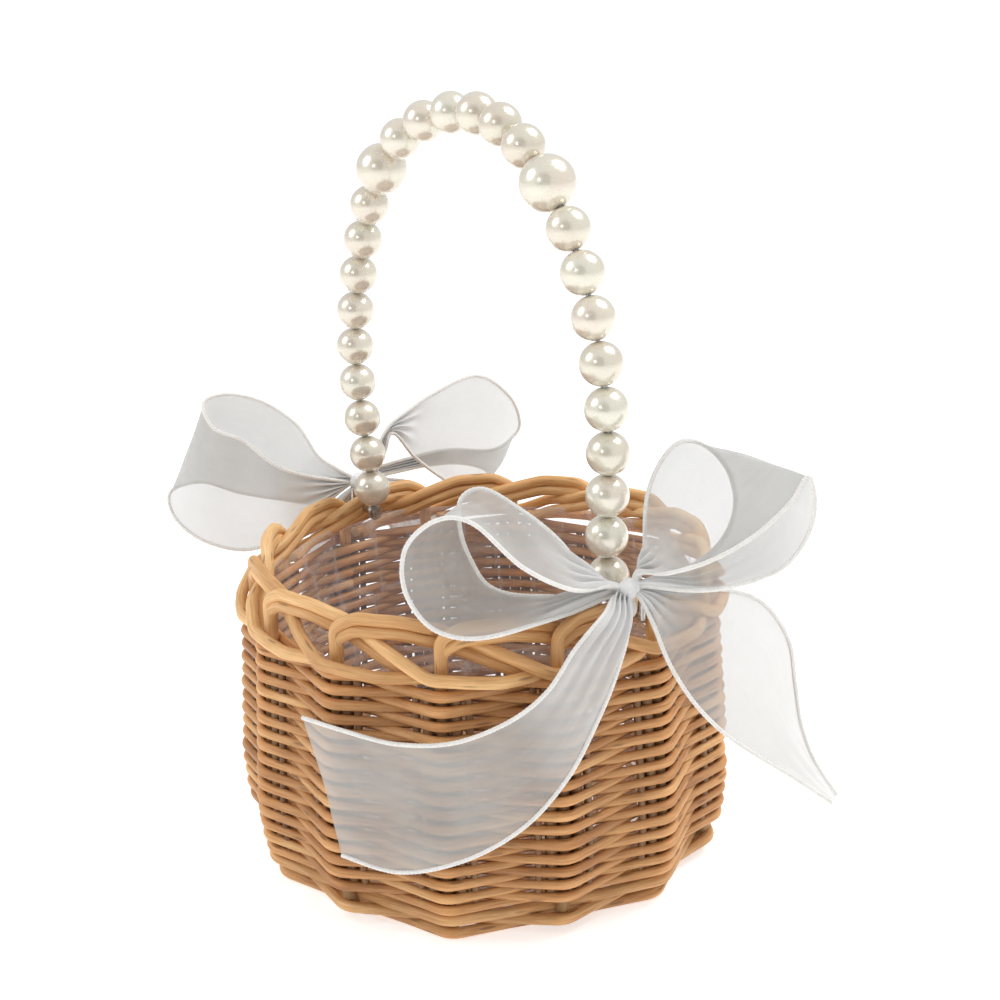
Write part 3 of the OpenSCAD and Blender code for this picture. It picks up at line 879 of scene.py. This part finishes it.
def ribbon(name, edges, knot, loop, seed):
    """Ribbon between two edges: flat where it is full width, pleated where it is drawn in to the knot."""
    rng = random.Random(seed)
    steps, columns = 14, 30
    a = catmull(into_knot(edges[0], knot, loop), steps)
    b = catmull(into_knot(edges[1], knot, loop), steps)
    middle = (a + b) / 2
    across = b - a
    width = np.linalg.norm(across, axis=1)
    along = unit(np.gradient(middle, axis=0))
    normal = unit(np.cross(across, along))
    run = lengths(middle)
    gather = np.clip(1.25 - width / PLEATED_W, 0, 1)
    gather = gather * gather * (3 - 2 * gather)
    pleat_phase = rng.uniform(0, TURN)
    v = np.linspace(0, 1, columns + 1)
    fold = np.sin(TURN * PLEATS * v[None] + pleat_phase + 0.02 * run[:, None])
    offset = gather[:, None] * fold * np.minimum(2.4, 0.9 + width * 0.12)[:, None]
    fade = np.sin(np.pi * v)[None] * np.clip(width / RIBBON_W, 0, 1)[:, None]
    soft = np.array([[noise.noise(Vector((s / 34, 1.6 * w, seed))) for w in v] for s in run])
    offset = offset + fade * (1.2 + 2.0 * soft)
    points = a[:, None] + across[:, None] * v[None, :, None] + normal[:, None] * offset[..., None]
    cloth = np.stack([np.broadcast_to(run[:, None], offset.shape) * MM,
                      np.broadcast_to(v[None] * RIBBON_W, offset.shape) * MM,
                      np.zeros(offset.shape)], axis=-1).reshape(-1, 3)
    dense = np.broadcast_to(np.clip(1.1 - width / DENSE_W, 0, 1)[:, None], offset.shape)
    sheet = Shape()
    sheet.grid(points, cloth=cloth, dense=dense.ravel().copy())
    piece = sheet.build(f"{name}_organza", "basket", ORGANZA, [name])

    cords = Shape()
    for k in (0, columns):
        path = spaced(points[:, k], CORD_STEP)
        beads = 1 + 0.10 * np.sin(np.arange(len(path)) * TURN / 3)
        ref = unit(np.stack([np.interp(np.linspace(0, 1, len(path)), np.linspace(0, 1, len(normal)),
                                       normal[:, c]) for c in range(3)], axis=1))
        cords.tube(path, CORD_R * beads, 8, ref, rng.random())
    edge_piece = cords.build(f"{name}_cords", "basket", CORD)
    return piece


def knot_wrap(side, knot, seed):
    """Ribbon drawn tight round the middle of the bow, its folds running round the knot."""
    rows, columns = 56, 30
    points, cloth = [], []
    for i in range(rows):
        t = TURN * i / rows
        row = []
        for k in range(columns + 1):
            s = -1 + 2 * k / columns
            y = s * KNOT_HALF_LENGTH
            swell = math.sqrt(max(1 - (s * 0.93) ** 2, 0.0))
            folds = 0.42 * abs(math.sin(6.5 * s + 0.6 * math.sin(t))) * swell
            lump = 0.35 * noise.noise(Vector((math.cos(t) * 1.3, math.sin(t) * 1.3, s * 1.5 + seed)))
            r = 1.0 + 3.1 * swell + folds + lump
            row.append(knot + (r * math.cos(t) * 0.98, y, r * math.sin(t) * 0.92))
            cloth.append((i / rows * 0.034, k / columns * 0.05, 0))
        points.append(row)
    points = np.array(points)
    shape = Shape()
    ones = np.ones(rows * (columns + 1))
    shape.grid(points, wrap=True, cloth=np.array(cloth), dense=ones)
    for k, order in ((0, 1), (columns, -1)):
        ring = points[:, k]
        centre = ring.mean(axis=0)[None]
        fan = [(0, 1 + i, 1 + (i + 1) % rows)[::order] for i in range(rows)]
        shape.add(np.vstack([centre, ring]), fan, cloth=np.zeros((rows + 1, 3)), dense=np.ones(rows + 1))
    piece = shape.build(f"{side}_bow_knot_wrap", "basket", ORGANZA_KNOT, [f"{side}_bow_knot"])
    piece.modifiers.new("join", "WELD").merge_threshold = 1e-6
    return piece


def tie_band(side, flip):
    """Narrow band of gathered ribbon round the border rods."""
    rows, columns = 64, 14
    points, cloth = [], []
    for i in range(rows):
        t = TURN * i / rows
        row = []
        for k in range(columns + 1):
            s = -1 + 2 * k / columns
            r = TIE_R + 0.26 * math.cos(9 * s + 0.5 * math.sin(2 * t)) - 0.2 * s * s
            row.append(TIE + (r * math.cos(t), s * TIE_HALF_WIDTH, r * math.sin(t)))
            cloth.append((i / rows * 0.034, k / columns * 0.01, 0))
        points.append(row)
    points = np.array(points)
    if flip:
        points = points * HALF_TURN
    shape = Shape()
    shape.grid(points, wrap=True, cloth=np.array(cloth), dense=np.ones(rows * (columns + 1)))
    piece = shape.build(f"{side}_bow_tie_band", "basket", ORGANZA_KNOT, [f"{side}_bow_tie"])
    return piece


for bow_side, bow_knot, flipped in (("right", KNOT, 0), ("left", LEFT_KNOT, 1)):
    knot_wrap(bow_side, bow_knot, flipped)
    tie_band(bow_side, flipped)

RIBBONS = [
    ("right_bow_inner_loop", INNER_LOOP, KNOT, True),
    ("right_bow_outer_loop", OUTER_LOOP, KNOT, True),
    ("right_bow_inner_tail", INNER_TAIL, KNOT, False),
    ("right_bow_outer_tail", OUTER_TAIL, KNOT, False),
    ("left_bow_inner_loop", LEFT_FAN, LEFT_KNOT, True),
    ("left_bow_outer_loop", LEFT_OUTER_LOOP, LEFT_KNOT, True),
    ("left_bow_inner_tail", LEFT_INNER_TAIL, LEFT_KNOT, False),
    ("left_bow_outer_tail", LEFT_OUTER_TAIL, LEFT_KNOT, False),
]
for number, (node_name, node_edges, knot_point, is_loop) in enumerate(RIBBONS):
    ribbon(node_name, node_edges, knot_point, is_loop, 100 + number)

# ---------------------------------------------------------------- floor


def floor():
    mesh = bpy.data.meshes.new("studio_floor")
    half = 20.0
    corners = [(-half, -half, 0), (half, -half, 0), (half, half, 0), (-half, half, 0)]
    mesh.from_pydata(corners, [], [(0, 1, 2, 3)])
    mesh.materials.append(floor_material())
    piece = bpy.data.objects.new("studio_floor", mesh)
    bpy.context.scene.collection.objects.link(piece)


floor()
